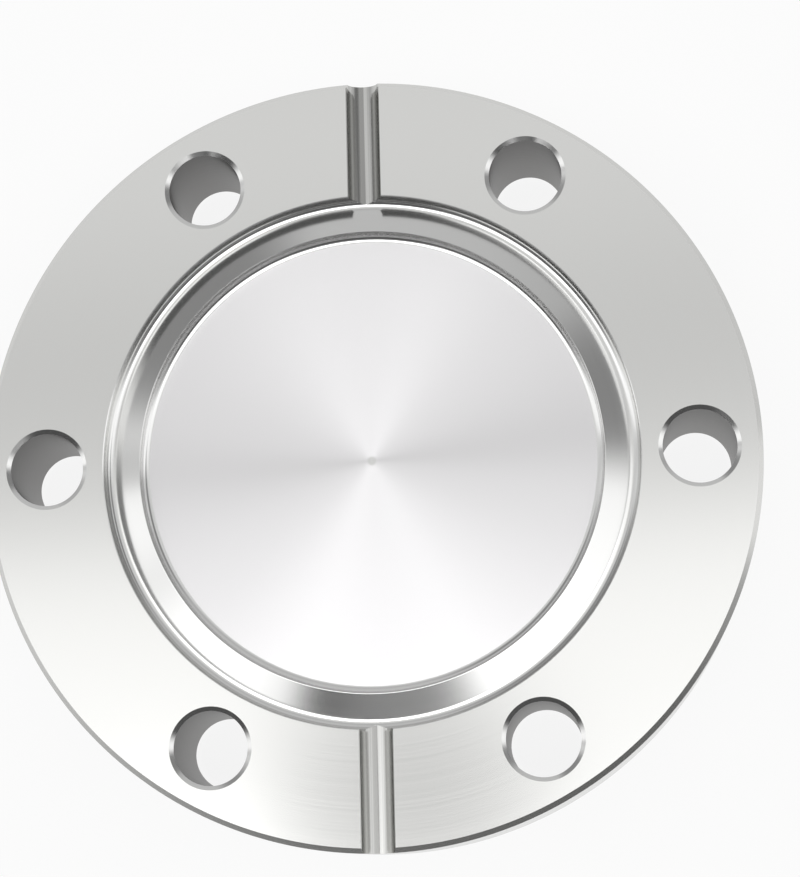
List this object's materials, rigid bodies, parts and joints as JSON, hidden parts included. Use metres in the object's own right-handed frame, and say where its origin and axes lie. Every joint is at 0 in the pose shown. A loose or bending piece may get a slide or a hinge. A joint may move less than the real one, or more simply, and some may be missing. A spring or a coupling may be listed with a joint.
{
  "type": "cf vacuum flange",
  "caption": "Blank knife-edge vacuum flange: a round steel disc with a gasket recess, a ring of bolt holes and leak-check grooves, to close a port.",
  "frame": {"origin": "centre of the back face, which the flange rests on", "axes": "+Z along the disc's axis, out of the sealing face; +Y along one leak-check groove, half way between two bolt holes; +X through a bolt hole"},
  "size_m": [0.0698, 0.0698, 0.0127],
  "materials": {
    "stainless_steel": "bright fine-turned, unpainted"
  },
  "bodies": {
    "root": {"blank_flange": "stainless_steel"}
  },
  "joints": []
}
